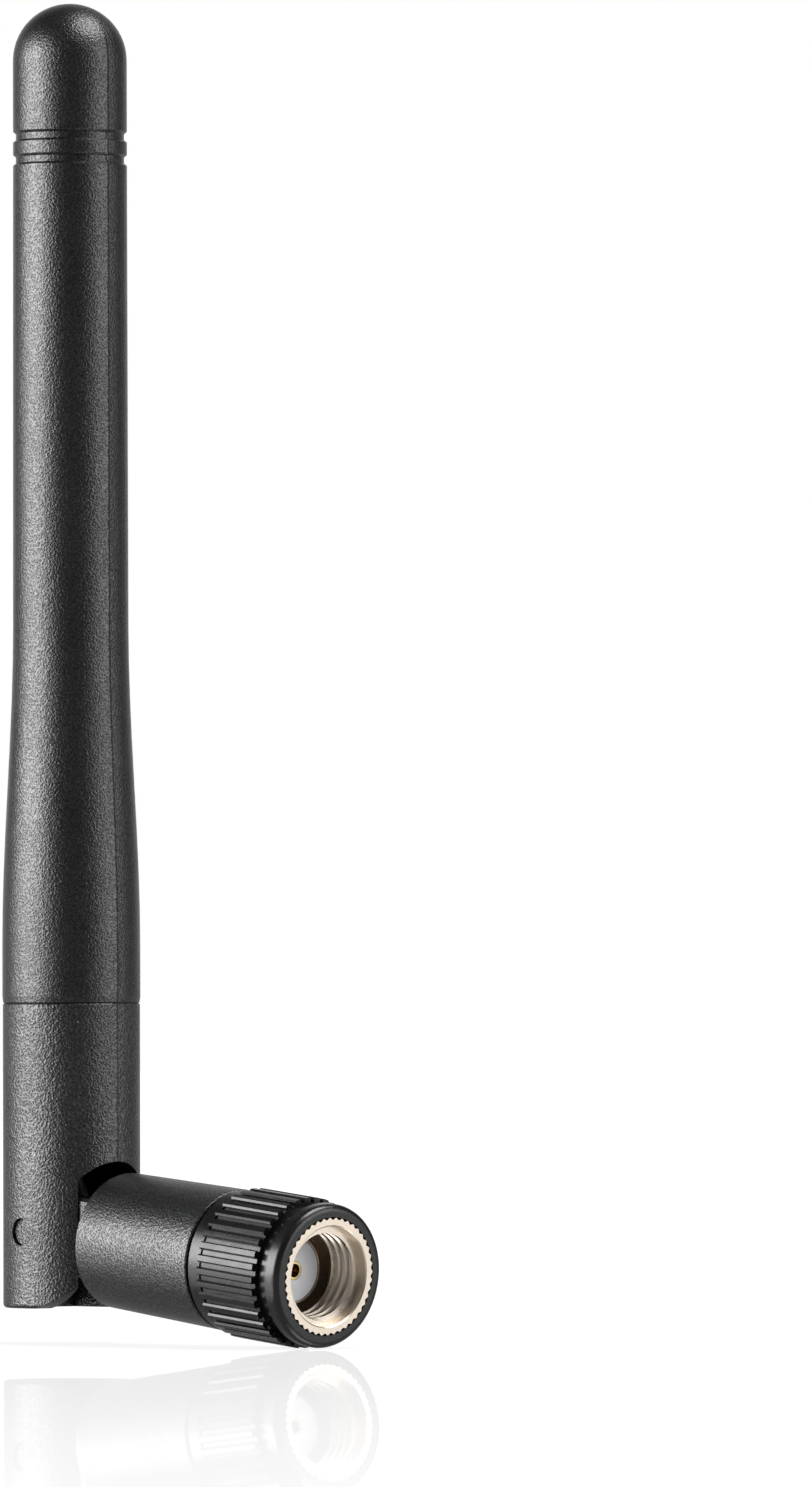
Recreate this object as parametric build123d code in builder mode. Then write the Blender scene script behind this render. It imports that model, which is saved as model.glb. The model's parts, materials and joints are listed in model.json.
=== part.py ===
from build123d import *
import os
from math import cos, pi, radians, sin, tan

# Folding 2.4 GHz whip antenna with a reverse-polarity screw-on connector.
# Units are millimetres.  +Z runs up the whip.  The origin is on the connector's axis, where the
# coupling thread opens.  The whip is drawn upright and the connector points forward, along +X,
# and a little down: this is the folded position.

# ---------------------------------------------------------------- driving dimensions
# fold
FOLD_ANGLE = 83.8          # turned from straight to the position drawn
# whip: heights are above the hinge pin
WHIP_TOP = 85.25           # hinge pin to the tip
TIP_RADIUS = 3.96          # radius of the domed tip and of the tube under it
TUBE_RADIUS = 4.01         # tube where the flare starts
FLARE_TOP = 42.0
FLARE_BOTTOM = 20.0
SKIRT_PROUD = 0.03         # the flare's widest part beyond the housing
SKIRT_RIM_INSET = 0.02     # the radome's bottom rim inside the housing
SEAM_HEIGHT = 15.8         # joint between radome and hinge housing
SEAM_BEVEL = 0.08
SKIRT_TURN_IN = 0.5        # length over which the skirt narrows to its rim
RADOME_WALL = 0.85
GROOVE_DROPS = (5.70, 7.32)       # from the dome's foot down to the lower edge of each groove
GROOVE_DEPTH = 0.2
GROOVE_FLOOR = 0.42
GROOVE_UPPER_SLOPE = 0.18
GROOVE_LOWER_SLOPE = 0.16
# hinge housing
HOUSING_RADIUS = 4.76
HOUSING_FOOT = 5.3         # hinge pin to the bottom face
FOOT_ROUNDING = 0.3
EAR_TURN = 0.64            # the ears are round about the pin, this far beyond the housing's radius
SLOT_WIDTH = 5.7
SLOT_CROWN = 4.87          # hinge pin to the slot's arched ceiling
SLOT_SHOULDER = 3.57       # hinge pin to the ends of the arch
SLOT_BACK = 2.95           # hinge pin to the slot's closed back wall
SPIGOT_STEP = 1.19         # housing's radius down to the spigot's
SPIGOT_LENGTH = 5.0
# coaxial cable
CONDUCTOR_RADIUS = 0.15
DIELECTRIC_RADIUS = 0.42
BRAID_WALL = 0.14
JACKET_WALL = 0.125
CABLE_BORE_ROOM = 0.615    # round the jacket in housing and barrel
CHANNEL_ROOM = 0.315       # each side of the jacket between the prongs
CABLE_BEND_REACH = 5.2     # hinge pin to each end of the bend
# hinge pins
PIN_RADIUS = 0.925
PIN_RUNNING_GAP = 0.04
PIN_RECESS = 0.34          # the pin's end below the housing's radius
# barrel: stations are distances from the hinge pin along the connector's axis
TONGUE_SIDE_GAP = 0.12
TONGUE_HEIGHT = 5.45
TONGUE_EDGE = 0.2
CHANNEL_END = 4.5          # hinge pin to the channel's closed end
BARREL_BACK_GAP = 0.15     # between the ears' reach and the barrel
BARREL_FRONT = 17.1
BARREL_BACK_RADIUS = 4.72
BARREL_FRONT_RADIUS = 4.90
BARREL_EDGE = 0.15
SWIVEL_GAP = 0.2           # between the barrel and the turning grip sleeve
# coupling nut, 1/4-36 thread
GRIP_LENGTH = 9.0          # the sleeve from its back to the nut's front face
NUT_LENGTH = 7.4
NUT_FACE_WIDTH = 0.6       # ring between the mouth and the knurl's crests
KNURL_TEETH = 44
KNURL_DEPTH = 0.17
MOUTH_STEP = 0.25          # the smooth mouth outside the thread's root
MOUTH_DEPTH = 0.7
MOUTH_BEVEL = 0.08
THREAD_PITCH = 25.4 / 36
THREAD_MINOR_RADIUS = 2.91
THREAD_DEPTH = 0.29
THREAD_LENGTH = 2.65
THREAD_ROOT_FLAT = 0.06
THREAD_FLANK_ANGLE = 30.0
THREAD_RUN_OUT = 0.6       # the groove's helix runs past each end of the thread
RELIEF_STEP = 0.05         # the relief outside the thread's root
NUT_RUNNING_GAP = 0.05     # between the connector body and the nut's bore
NUT_FLANGE_LENGTH = 1.9
# grip sleeve: walls are outside the nut's radius
GRIP_WALL = 0.9            # smooth ring at the front
GRIP_FRONT_ROUNDING = 0.5
GRIP_BACK_ROUNDING = 0.2
GRIP_RING_LENGTH = 1.25
GRIP_GROOVE_LENGTH = 0.95
GRIP_GROOVE_WALL = 0.5
RIB_ROOT_WALL = 0.77
RIB_DEPTH = 0.36
RIB_COUNT = 36
RIB_SHARE = 0.62           # part of each pitch that is rib, at the root
RIB_BEVEL = 0.12
COLLAR_STEP = 0.1          # the plain collar above the ribs' roots
GRIP_COLLAR_LENGTH = 1.25
SLEEVE_EDGE = 0.15
SLEEVE_BORE_GAP = 0.2      # between the sleeve's rear bore and the connector body
FIT_GAP = 0.03             # between pieces that are pushed together by hand
# connector body and contact
FERRULE_RECESS = 3.4       # nut's front face to the ferrule's face
FERRULE_WALL = 0.14
FERRULE_BEVEL = 0.04
BODY_RADIUS = 2.75
BODY_FRONT_STEP = 0.05     # the body's journal ends this far inside the nut's flange
SEAT_STEP = 0.55           # press seat in the barrel, outside the journal
SEAT_LENGTH = 4.05
SEAT_RECESS = 0.05
BODY_WALL = 0.6            # between the journal and the insulator's bore
INSULATOR_LENGTH = 7.4
INSULATOR_RECESS = 0.06
CONTACT_RADIUS = 0.635
CONTACT_WALL = 0.165
SOCKET_DEPTH = 2.6
SOLDER_CUP_DEPTH = 1.5
TAIL_RADIUS = 1.25
TAIL_LENGTH = 2.8
RING_PROUD = 0.27          # retaining ring outside the journal
RING_THICKNESS = 0.4
RING_OPENING = 40.0        # degrees
RING_GROOVE_DEPTH = 0.35
RING_SIDE_GAP = 0.05
CRIMP_WALL = 0.47
CRIMP_LENGTH = 3.1
SHRINK_WALL = 0.22
SHRINK_LENGTH = 2.8
CRIMP_ROOM_GAP = 0.15      # round the shrunk tube
CRIMP_ROOM_BEHIND = 0.8    # behind it
# radiating parts inside the radome
TIP_ROOM = 6.7             # radiator's end to the whip's tip
RADIATOR_LENGTH = 28.0
CHOKE_FOOT_GAP = 2.2       # spigot to the choke sleeve's open end
CHOKE_WALL = 0.25
BUSH_WALL = 0.71           # radome's bore down to the choke sleeve
BARE_TIP_LENGTH = 1.0      # wire that stands out of its insulation
SOLDER_RADIUS = 1.1
SOLDER_HEIGHT = 0.4
BARE_BRAID_LENGTH = 1.0    # braid without jacket under the choke sleeve's top
RADIATOR_SHRINK_WALL = 0.35
RADIATOR_SHRINK_LENGTH = 25.2
UPPER_BUSH_ABOVE_FEED = 19.5
BUSH_LENGTH = 3.0

# ---------------------------------------------------------------- derived places and sizes
CUT_MARGIN = 1.0                               # cuts reach this far past the material
SLEEVE_BACK = BARREL_FRONT + SWIVEL_GAP
FACE_STATION = SLEEVE_BACK + GRIP_LENGTH       # front face of the nut and the sleeve
DROOP = 90.0 - FOLD_ANGLE                      # connector's axis below the horizontal
AXIS = Vector(cos(radians(DROOP)), 0, -sin(radians(DROOP)))
MOUTH_STATION = FACE_STATION - MOUTH_DEPTH     # the origin's station
PIN_POINT = AXIS * -MOUTH_STATION

WHIP_SECTION = Plane(origin=PIN_POINT, x_dir=(1, 0, 0), z_dir=(0, -1, 0))
BARREL_SECTION = Plane(origin=PIN_POINT, x_dir=AXIS, z_dir=(0, -1, 0))
WHIP_AXIS = Axis(PIN_POINT, (0, 0, 1))
CONNECTOR_AXIS = Axis(PIN_POINT, AXIS)

SKIRT_RADIUS = HOUSING_RADIUS + SKIRT_PROUD
SKIRT_EDGE_RADIUS = HOUSING_RADIUS - SKIRT_RIM_INSET
SPIGOT_RADIUS = HOUSING_RADIUS - SPIGOT_STEP
SOCKET_BORE_RADIUS = SPIGOT_RADIUS + FIT_GAP
TUBE_BORE_RADIUS = TIP_RADIUS - RADOME_WALL
DOME_HEIGHT = WHIP_TOP - TIP_RADIUS
EAR_REACH = HOUSING_RADIUS + EAR_TURN
PIN_END = HOUSING_RADIUS - PIN_RECESS
BRAID_RADIUS = DIELECTRIC_RADIUS + BRAID_WALL
JACKET_RADIUS = BRAID_RADIUS + JACKET_WALL
CABLE_BORE_RADIUS = JACKET_RADIUS + CABLE_BORE_ROOM
CHANNEL_WIDTH = 2 * (JACKET_RADIUS + CHANNEL_ROOM)
TONGUE_WIDTH = SLOT_WIDTH - 2 * TONGUE_SIDE_GAP
BARREL_BACK = EAR_REACH + BARREL_BACK_GAP
NUT_BACK = FACE_STATION - NUT_LENGTH
NUT_FLANGE_FRONT = NUT_BACK + NUT_FLANGE_LENGTH
NUT_BORE_RADIUS = BODY_RADIUS + NUT_RUNNING_GAP
THREAD_MAJOR_RADIUS = THREAD_MINOR_RADIUS + THREAD_DEPTH
RELIEF_RADIUS = THREAD_MAJOR_RADIUS + RELIEF_STEP
MOUTH_RADIUS = THREAD_MAJOR_RADIUS + MOUTH_STEP
NUT_RADIUS = MOUTH_RADIUS + NUT_FACE_WIDTH
THREAD_END = MOUTH_STATION - THREAD_LENGTH
GRIP_RADIUS = NUT_RADIUS + GRIP_WALL
GRIP_GROOVE_RADIUS = NUT_RADIUS + GRIP_GROOVE_WALL
RIB_ROOT_RADIUS = NUT_RADIUS + RIB_ROOT_WALL
RIB_RADIUS = RIB_ROOT_RADIUS + RIB_DEPTH
GRIP_COLLAR_RADIUS = RIB_ROOT_RADIUS + COLLAR_STEP
FERRULE_FACE = FACE_STATION - FERRULE_RECESS
INSULATOR_RADIUS = BODY_RADIUS - BODY_WALL
FERRULE_RADIUS = INSULATOR_RADIUS + FERRULE_WALL
FERRULE_BACK = NUT_FLANGE_FRONT - BODY_FRONT_STEP
SEAT_RADIUS = BODY_RADIUS + SEAT_STEP
SEAT_FRONT = BARREL_FRONT - SEAT_RECESS
SEAT_BACK = SEAT_FRONT - SEAT_LENGTH
TAIL_END = SEAT_BACK - TAIL_LENGTH
INSULATOR_FACE = FERRULE_FACE - INSULATOR_RECESS
INSULATOR_BACK = INSULATOR_FACE - INSULATOR_LENGTH
SOCKET_RADIUS = CONTACT_RADIUS - CONTACT_WALL
RING_RADIUS = BODY_RADIUS + RING_PROUD
RING_GROOVE_RADIUS = BODY_RADIUS - RING_GROOVE_DEPTH
RING_STATION = NUT_BACK + NUT_FLANGE_LENGTH / 2
CABLE_HOLE_RADIUS = DIELECTRIC_RADIUS + FIT_GAP
CRIMP_RADIUS = TAIL_RADIUS + FIT_GAP + CRIMP_WALL
CRIMP_FRONT = SEAT_BACK - FIT_GAP
CRIMP_BACK = CRIMP_FRONT - CRIMP_LENGTH
CRIMP_ROOM_RADIUS = CRIMP_RADIUS + FIT_GAP + SHRINK_WALL + CRIMP_ROOM_GAP
CRIMP_ROOM_BACK = CRIMP_BACK - CRIMP_ROOM_BEHIND
BEND_RADIUS = CABLE_BEND_REACH / tan(radians(FOLD_ANGLE / 2))
RADIATOR_TOP = WHIP_TOP - TIP_ROOM
FEED_HEIGHT = RADIATOR_TOP - RADIATOR_LENGTH
CHOKE_FOOT = SEAM_HEIGHT + SPIGOT_LENGTH + CHOKE_FOOT_GAP
CHOKE_LENGTH = FEED_HEIGHT - CHOKE_FOOT
CHOKE_RADIUS = TUBE_BORE_RADIUS - BUSH_WALL
RADIATOR_SHRINK_RADIUS = DIELECTRIC_RADIUS + FIT_GAP + RADIATOR_SHRINK_WALL
LOWER_BUSH_HEIGHT = (CHOKE_FOOT + FEED_HEIGHT - BUSH_LENGTH) / 2
UPPER_BUSH_HEIGHT = FEED_HEIGHT + UPPER_BUSH_ABOVE_FEED


def whip_level(height):
    """Plane across the whip, at a height above the hinge pin."""
    return Plane(origin=PIN_POINT + Vector(0, 0, height))


def station(distance):
    """Plane across the connector's axis, facing its mouth, at a distance from the hinge pin."""
    return Plane(origin=PIN_POINT + AXIS * distance, x_dir=(0, 1, 0), z_dir=AXIS)


def finish_part(builder, name):
    """Label a finished piece and write it as its own STEP file."""
    builder.part.label = name
    export_step(builder.part, f"parts/{name}.step")


os.makedirs("parts", exist_ok=True)

# ================================================================ whip
# Radome: one moulded tube, domed at the tip and flared at the foot, hollow all the way up.
with BuildPart() as radome:
    with BuildSketch(WHIP_SECTION):
        with BuildLine():
            crown = (0, WHIP_TOP)
            shoulder = (TIP_RADIUS, DOME_HEIGHT)
            RadiusArc(crown, shoulder, TIP_RADIUS)
            points = [shoulder]
            for drop in GROOVE_DROPS:
                low = DOME_HEIGHT - drop
                floor_low = low + GROOVE_LOWER_SLOPE
                floor_high = floor_low + GROOVE_FLOOR
                points.append((TIP_RADIUS, floor_high + GROOVE_UPPER_SLOPE))
                points.append((TIP_RADIUS - GROOVE_DEPTH, floor_high))
                points.append((TIP_RADIUS - GROOVE_DEPTH, floor_low))
                points.append((TIP_RADIUS, low))
            points.append((TUBE_RADIUS, FLARE_TOP))
            Polyline(points)
            third = (FLARE_TOP - FLARE_BOTTOM) / 3
            Bezier(
                (TUBE_RADIUS, FLARE_TOP),
                (TUBE_RADIUS, FLARE_TOP - third),
                (SKIRT_RADIUS, FLARE_BOTTOM + third),
                (SKIRT_RADIUS, FLARE_BOTTOM),
            )
            Polyline(
                (SKIRT_RADIUS, FLARE_BOTTOM),
                (SKIRT_RADIUS, SEAM_HEIGHT + SKIRT_TURN_IN),
                (SKIRT_EDGE_RADIUS, SEAM_HEIGHT + SEAM_BEVEL),
                (SKIRT_EDGE_RADIUS - SEAM_BEVEL, SEAM_HEIGHT),
                (SOCKET_BORE_RADIUS, SEAM_HEIGHT),
                (SOCKET_BORE_RADIUS, SEAM_HEIGHT + SPIGOT_LENGTH + FIT_GAP),
                (TUBE_BORE_RADIUS, SEAM_HEIGHT + SPIGOT_LENGTH + FIT_GAP),
                (TUBE_BORE_RADIUS, DOME_HEIGHT),
            )
            RadiusArc((TUBE_BORE_RADIUS, DOME_HEIGHT), (0, WHIP_TOP - RADOME_WALL), -TUBE_BORE_RADIUS)
            Line((0, WHIP_TOP - RADOME_WALL), crown)
        make_face()
    revolve(axis=WHIP_AXIS)
finish_part(radome, "radome")

# Hinge housing: a round post with a spigot for the radome and a slot that leaves two ears.
with BuildPart() as hinge_housing:
    with BuildSketch(WHIP_SECTION):
        with BuildLine():
            foot_corner = (HOUSING_RADIUS - FOOT_ROUNDING, -HOUSING_FOOT)
            foot_side = (HOUSING_RADIUS, FOOT_ROUNDING - HOUSING_FOOT)
            Polyline(
                foot_side,
                (HOUSING_RADIUS, SEAM_HEIGHT - SEAM_BEVEL),
                (HOUSING_RADIUS - SEAM_BEVEL, SEAM_HEIGHT),
                (SPIGOT_RADIUS, SEAM_HEIGHT),
                (SPIGOT_RADIUS, SEAM_HEIGHT + SPIGOT_LENGTH),
                (CABLE_BORE_RADIUS, SEAM_HEIGHT + SPIGOT_LENGTH),
                (CABLE_BORE_RADIUS, 0),
                (0, 0),
                (0, -HOUSING_FOOT),
                foot_corner,
            )
            RadiusArc(foot_corner, foot_side, -FOOT_ROUNDING)
        make_face()
    revolve(axis=WHIP_AXIS)
    # slot for the tongue: open in front and below, arched on top, closed at the back
    with BuildSketch(Plane(origin=PIN_POINT - Vector(SLOT_BACK, 0, 0), x_dir=(0, 1, 0), z_dir=(1, 0, 0))):
        with BuildLine():
            half_slot = SLOT_WIDTH / 2
            ThreePointArc((-half_slot, SLOT_SHOULDER), (0, SLOT_CROWN), (half_slot, SLOT_SHOULDER))
            Polyline(
                (half_slot, SLOT_SHOULDER),
                (half_slot, -HOUSING_FOOT - CUT_MARGIN),
                (-half_slot, -HOUSING_FOOT - CUT_MARGIN),
                (-half_slot, SLOT_SHOULDER),
            )
        make_face()
    extrude(amount=SLOT_BACK + HOUSING_RADIUS + CUT_MARGIN, mode=Mode.SUBTRACT)
    # front of the ears rounded about the pin, so that they turn past the barrel
    with BuildSketch(WHIP_SECTION):
        with Locations((EAR_REACH, -EAR_REACH)):
            Rectangle(2 * EAR_REACH, 2 * EAR_REACH)
        Circle(EAR_REACH, mode=Mode.SUBTRACT)
    extrude(amount=HOUSING_RADIUS + CUT_MARGIN, both=True, mode=Mode.SUBTRACT)
    # pin holes through both ears
    with BuildSketch(WHIP_SECTION):
        Circle(PIN_RADIUS + PIN_RUNNING_GAP)
    extrude(amount=HOUSING_RADIUS + CUT_MARGIN, both=True, mode=Mode.SUBTRACT)
finish_part(hinge_housing, "hinge_housing")

# Coaxial cable in the whip: jacket and braid end at the feed point, the core goes on above it.
with BuildPart() as coax_jacket:
    with BuildSketch(whip_level(CABLE_BEND_REACH)):
        Circle(JACKET_RADIUS)
        Circle(BRAID_RADIUS + FIT_GAP, mode=Mode.SUBTRACT)
    extrude(amount=FEED_HEIGHT - CHOKE_WALL - BARE_BRAID_LENGTH - CABLE_BEND_REACH)
finish_part(coax_jacket, "coax_jacket")

with BuildPart() as coax_braid:
    with BuildSketch(whip_level(CABLE_BEND_REACH)):
        Circle(BRAID_RADIUS)
        Circle(DIELECTRIC_RADIUS + FIT_GAP, mode=Mode.SUBTRACT)
    extrude(amount=FEED_HEIGHT + SOLDER_HEIGHT - CABLE_BEND_REACH)
finish_part(coax_braid, "coax_braid")

with BuildPart() as coax_dielectric:
    with BuildSketch(whip_level(CABLE_BEND_REACH)):
        Circle(DIELECTRIC_RADIUS)
        Circle(CONDUCTOR_RADIUS + FIT_GAP, mode=Mode.SUBTRACT)
    extrude(amount=RADIATOR_TOP - BARE_TIP_LENGTH - CABLE_BEND_REACH)
finish_part(coax_dielectric, "coax_dielectric")

with BuildPart() as radiator_wire:
    with BuildSketch(whip_level(CABLE_BEND_REACH)):
        Circle(CONDUCTOR_RADIUS)
    extrude(amount=RADIATOR_TOP - CABLE_BEND_REACH)
finish_part(radiator_wire, "radiator_wire")

# Choke sleeve: a brass cup turned upside down, a quarter wave long, soldered to the braid on top.
with BuildPart() as choke_sleeve:
    with BuildSketch(whip_level(FEED_HEIGHT)):
        Circle(CHOKE_RADIUS)
        Circle(BRAID_RADIUS + FIT_GAP, mode=Mode.SUBTRACT)
    extrude(amount=-CHOKE_WALL)
    with BuildSketch(whip_level(FEED_HEIGHT - CHOKE_WALL)):
        Circle(CHOKE_RADIUS)
        Circle(CHOKE_RADIUS - CHOKE_WALL, mode=Mode.SUBTRACT)
    extrude(amount=CHOKE_WALL - CHOKE_LENGTH)
finish_part(choke_sleeve, "choke_sleeve")

with BuildPart() as solder_fillet:
    with BuildSketch(WHIP_SECTION):
        Polygon(
            (BRAID_RADIUS + FIT_GAP, FEED_HEIGHT),
            (SOLDER_RADIUS, FEED_HEIGHT),
            (BRAID_RADIUS + FIT_GAP, FEED_HEIGHT + SOLDER_HEIGHT),
            align=None,
        )
    revolve(axis=WHIP_AXIS)
finish_part(solder_fillet, "solder_fillet")

with BuildPart() as radiator_shrink:
    with BuildSketch(whip_level(FEED_HEIGHT + 2 * SOLDER_HEIGHT)):
        Circle(RADIATOR_SHRINK_RADIUS)
        Circle(DIELECTRIC_RADIUS + FIT_GAP, mode=Mode.SUBTRACT)
    extrude(amount=RADIATOR_SHRINK_LENGTH)
finish_part(radiator_shrink, "radiator_shrink")

# Foam rings that hold the choke sleeve and the radiator in the middle of the radome.
for bush_name, bush_height, held_radius in (
    ("lower_bush", LOWER_BUSH_HEIGHT, CHOKE_RADIUS),
    ("upper_bush", UPPER_BUSH_HEIGHT, RADIATOR_SHRINK_RADIUS),
):
    with BuildPart() as bush:
        with BuildSketch(whip_level(bush_height)):
            Circle(TUBE_BORE_RADIUS - FIT_GAP)
            Circle(held_radius + FIT_GAP, mode=Mode.SUBTRACT)
        extrude(amount=BUSH_LENGTH)
    finish_part(bush, bush_name)

# ================================================================ barrel
# Barrel: the lower half of the hinge, a round shell with a pronged tongue on its back.
with BuildPart() as barrel:
    with BuildSketch(BARREL_SECTION):
        with BuildLine():
            back_edge = (BARREL_BACK, BARREL_BACK_RADIUS - BARREL_EDGE)
            back_side = (BARREL_BACK + BARREL_EDGE, BARREL_BACK_RADIUS)
            front_side = (BARREL_FRONT - BARREL_EDGE, BARREL_FRONT_RADIUS)
            front_edge = (BARREL_FRONT, BARREL_FRONT_RADIUS - BARREL_EDGE)
            Polyline((BARREL_BACK, 0), back_edge)
            RadiusArc(back_edge, back_side, BARREL_EDGE)
            Line(back_side, front_side)
            RadiusArc(front_side, front_edge, BARREL_EDGE)
            Polyline(front_edge, (BARREL_FRONT, 0), (BARREL_BACK, 0))
        make_face()
    revolve(axis=CONNECTOR_AXIS)
    # tongue, round about the pin
    with BuildSketch(BARREL_SECTION) as tongue_side:
        Circle(TONGUE_HEIGHT / 2)
        with Locations((BARREL_BACK / 2, 0)):
            Rectangle(BARREL_BACK, TONGUE_HEIGHT)
    extrude(amount=TONGUE_WIDTH / 2, both=True)
    tongue_rims = edges().filter_by(lambda edge: abs(abs(edge.center().Y) - TONGUE_WIDTH / 2) < 0.001)
    chamfer(
        tongue_rims.filter_by(lambda edge: (edge.center() - PIN_POINT).dot(AXIS) < BARREL_BACK - 0.01),
        TONGUE_EDGE,
    )
    # the cable's channel between the prongs, then its bore and the room for the crimp
    with BuildSketch(BARREL_SECTION):
        with Locations((CHANNEL_END - TONGUE_HEIGHT, 0)):
            Rectangle(2 * TONGUE_HEIGHT, TONGUE_HEIGHT + CUT_MARGIN)
    extrude(amount=CHANNEL_WIDTH / 2, both=True, mode=Mode.SUBTRACT)
    for bore_radius, bore_start, bore_end in (
        (CABLE_BORE_RADIUS, CHANNEL_END - CUT_MARGIN, CRIMP_ROOM_BACK),
        (CRIMP_ROOM_RADIUS, CRIMP_ROOM_BACK, SEAT_BACK),
        (SEAT_RADIUS, SEAT_BACK, BARREL_FRONT),
    ):
        with BuildSketch(station(bore_start)):
            Circle(bore_radius)
        extrude(amount=bore_end - bore_start, mode=Mode.SUBTRACT)
    # pin holes through both prongs
    with BuildSketch(BARREL_SECTION):
        Circle(PIN_RADIUS)
    extrude(amount=TONGUE_WIDTH, both=True, mode=Mode.SUBTRACT)
finish_part(barrel, "barrel")

# Hinge pins: two short pins pressed in the prongs, so that the cable passes between them.
for pin_name, side in (("pivot_pin_left", 1), ("pivot_pin_right", -1)):
    with BuildPart() as pivot_pin:
        with BuildSketch(Plane(origin=PIN_POINT + Vector(0, side * CHANNEL_WIDTH / 2, 0), z_dir=(0, side, 0))):
            Circle(PIN_RADIUS)
        extrude(amount=PIN_END - CHANNEL_WIDTH / 2)
    finish_part(pivot_pin, pin_name)

# Connector body: nickel-plated turned part with the outer contact ferrule in front, the nut's
# running journal, the press seat in the barrel and the crimp tail behind.
with BuildPart() as connector_body:
    with BuildSketch(BARREL_SECTION):
        ring_half = RING_THICKNESS / 2 + RING_SIDE_GAP
        Polygon(
            (FERRULE_FACE, INSULATOR_RADIUS),
            (FERRULE_FACE, FERRULE_RADIUS - FERRULE_BEVEL),
            (FERRULE_FACE - FERRULE_BEVEL, FERRULE_RADIUS),
            (FERRULE_BACK, FERRULE_RADIUS),
            (FERRULE_BACK, BODY_RADIUS),
            (RING_STATION + ring_half, BODY_RADIUS),
            (RING_STATION + ring_half, RING_GROOVE_RADIUS),
            (RING_STATION - ring_half, RING_GROOVE_RADIUS),
            (RING_STATION - ring_half, BODY_RADIUS),
            (SEAT_FRONT, BODY_RADIUS),
            (SEAT_FRONT, SEAT_RADIUS),
            (SEAT_BACK, SEAT_RADIUS),
            (SEAT_BACK, TAIL_RADIUS),
            (TAIL_END, TAIL_RADIUS),
            (TAIL_END, CABLE_HOLE_RADIUS),
            (INSULATOR_BACK, CABLE_HOLE_RADIUS),
            (INSULATOR_BACK, INSULATOR_RADIUS),
            align=None,
        )
    revolve(axis=CONNECTOR_AXIS)
finish_part(connector_body, "connector_body")

with BuildPart() as contact_insulator:
    with BuildSketch(station(INSULATOR_BACK)):
        Circle(INSULATOR_RADIUS - FIT_GAP)
        Circle(CONTACT_RADIUS + FIT_GAP, mode=Mode.SUBTRACT)
    extrude(amount=INSULATOR_LENGTH)
finish_part(contact_insulator, "contact_insulator")

# Centre contact: a gold-plated socket, soldered to the cable's inner conductor behind.
with BuildPart() as center_contact:
    with BuildSketch(station(INSULATOR_BACK)):
        Circle(CONTACT_RADIUS)
    extrude(amount=INSULATOR_LENGTH)
    with BuildSketch(station(INSULATOR_FACE)):
        Circle(SOCKET_RADIUS)
    extrude(amount=-SOCKET_DEPTH, mode=Mode.SUBTRACT)
    with BuildSketch(station(INSULATOR_BACK)):
        Circle(CONDUCTOR_RADIUS + FIT_GAP)
    extrude(amount=SOLDER_CUP_DEPTH, mode=Mode.SUBTRACT)
finish_part(center_contact, "center_contact")

# Retaining ring: an open spring ring that holds the nut on the body and lets it turn.
with BuildPart() as retaining_ring:
    with BuildSketch(station(RING_STATION - RING_THICKNESS / 2)):
        Circle(RING_RADIUS)
        Circle(RING_GROOVE_RADIUS + FIT_GAP, mode=Mode.SUBTRACT)
        opening_reach = 2 * RING_RADIUS
        opening_half = opening_reach * tan(radians(RING_OPENING / 2))
        Polygon(
            (0, 0), (opening_reach, -opening_half), (opening_reach, opening_half),
            align=None, mode=Mode.SUBTRACT,
        )
    extrude(amount=RING_THICKNESS)
finish_part(retaining_ring, "retaining_ring")

with BuildPart() as crimp_sleeve:
    with BuildSketch(station(CRIMP_BACK)):
        Circle(CRIMP_RADIUS)
        Circle(TAIL_RADIUS + FIT_GAP, mode=Mode.SUBTRACT)
    extrude(amount=CRIMP_LENGTH)
finish_part(crimp_sleeve, "crimp_sleeve")

with BuildPart() as crimp_shrink:
    with BuildSketch(station(CRIMP_BACK)):
        Circle(CRIMP_RADIUS + FIT_GAP + SHRINK_WALL)
        Circle(CRIMP_RADIUS + FIT_GAP, mode=Mode.SUBTRACT)
    extrude(amount=SHRINK_LENGTH)
finish_part(crimp_shrink, "crimp_shrink")

# The cable in the barrel: jacket up to the crimp tail, core up to the contact.
with BuildPart() as lower_coax_jacket:
    with BuildSketch(station(CABLE_BEND_REACH)):
        Circle(JACKET_RADIUS)
        Circle(DIELECTRIC_RADIUS + FIT_GAP, mode=Mode.SUBTRACT)
    extrude(amount=TAIL_END - FIT_GAP - CABLE_BEND_REACH)
finish_part(lower_coax_jacket, "lower_coax_jacket")

with BuildPart() as lower_coax_dielectric:
    with BuildSketch(station(CABLE_BEND_REACH)):
        Circle(DIELECTRIC_RADIUS)
        Circle(CONDUCTOR_RADIUS + FIT_GAP, mode=Mode.SUBTRACT)
    extrude(amount=INSULATOR_BACK - FIT_GAP - CABLE_BEND_REACH)
finish_part(lower_coax_dielectric, "lower_coax_dielectric")

with BuildPart() as lower_conductor:
    with BuildSketch(station(CABLE_BEND_REACH)):
        Circle(CONDUCTOR_RADIUS)
    extrude(amount=INSULATOR_BACK + SOLDER_CUP_DEPTH - FIT_GAP - CABLE_BEND_REACH)
finish_part(lower_conductor, "lower_conductor")

# The cable's bend through the hinge, a quarter-turn arc that straightens with the whip.
with BuildPart() as coax_bend:
    with BuildLine(WHIP_SECTION) as bend_path:
        CenterArc((BEND_RADIUS, CABLE_BEND_REACH), BEND_RADIUS, 180, FOLD_ANGLE)
    with BuildSketch(whip_level(CABLE_BEND_REACH)):
        Circle(JACKET_RADIUS)
    sweep(path=bend_path.line)
finish_part(coax_bend, "coax_bend")

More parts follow.
